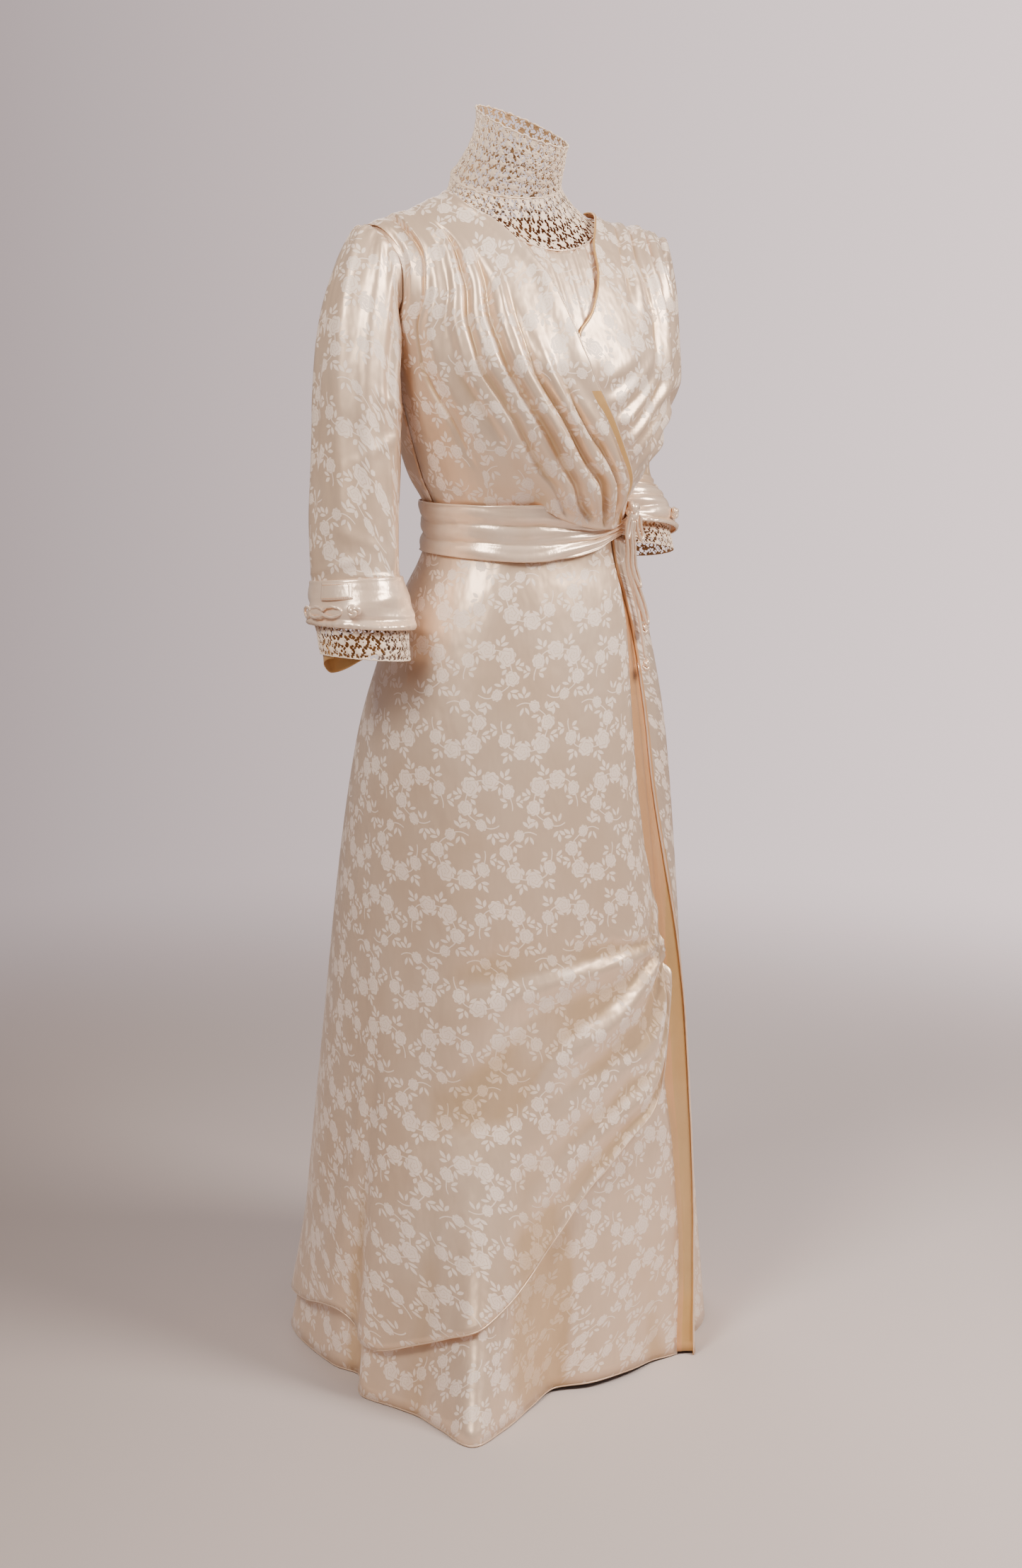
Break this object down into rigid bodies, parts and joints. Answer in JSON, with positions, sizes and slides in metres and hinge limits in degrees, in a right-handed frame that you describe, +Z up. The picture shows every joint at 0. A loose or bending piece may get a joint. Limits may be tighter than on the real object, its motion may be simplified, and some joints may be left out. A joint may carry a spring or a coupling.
{
  "type": "tea gown",
  "caption": "Floor-length wrap tea gown in ivory silk damask, worn form with no wearer: lace collar, draped bodice, sash, overskirt caught up at the left.",
  "frame": {"origin": "on the shoulder line, midway between the shoulders, where the wearer carries the gown", "axes": "+Z up the wearer's height, front facing -Y, the wearer's left side on +X"},
  "size_m": [0.5448, 0.5849, 1.4788],
  "materials": {
    "ivory_damask": "silk satin damask, roses woven matt on a glossy ground",
    "ivory_satin": "plain silk satin, glossy",
    "cream_lace": "cotton needle lace, matt",
    "peach_lining": "plain silk lining, soft sheen"
  },
  "bodies": {
    "root": {"bodice_front_right": "ivory_damask", "bodice_front_left": "ivory_damask", "bodice_back": "ivory_damask", "inset_front": "ivory_damask", "collar_lace_front": "cream_lace", "collar_lace_back": "cream_lace", "yoke_lace_front": "cream_lace", "yoke_lace_back": "cream_lace", "sleeve_right": "ivory_damask", "sleeve_left": "ivory_damask", "cuff_right": "ivory_satin", "cuff_left": "ivory_satin", "cuff_frog_right": "ivory_satin", "cuff_frog_left": "ivory_satin", "cuff_knot_right": "ivory_satin", "cuff_knot_left": "ivory_satin", "cuff_lace_right_front": "cream_lace", "cuff_lace_right_back": "cream_lace", "cuff_lace_left_front": "cream_lace", "cuff_lace_left_back": "cream_lace", "belt": "ivory_satin", "overskirt": "ivory_damask", "underskirt": "ivory_damask", "opening_lining": "peach_lining", "tie_knot": "ivory_satin", "tie_loop_short": "ivory_satin", "tie_loop_left": "ivory_satin", "tie_loop_long": "ivory_satin", "tie_loop_low": "ivory_satin", "tie_tail_inner": "ivory_satin", "tie_tail_inner_end": "ivory_satin", "tie_tail_outer": "ivory_satin", "tie_tail_outer_end": "ivory_satin"}
  },
  "joints": []
}
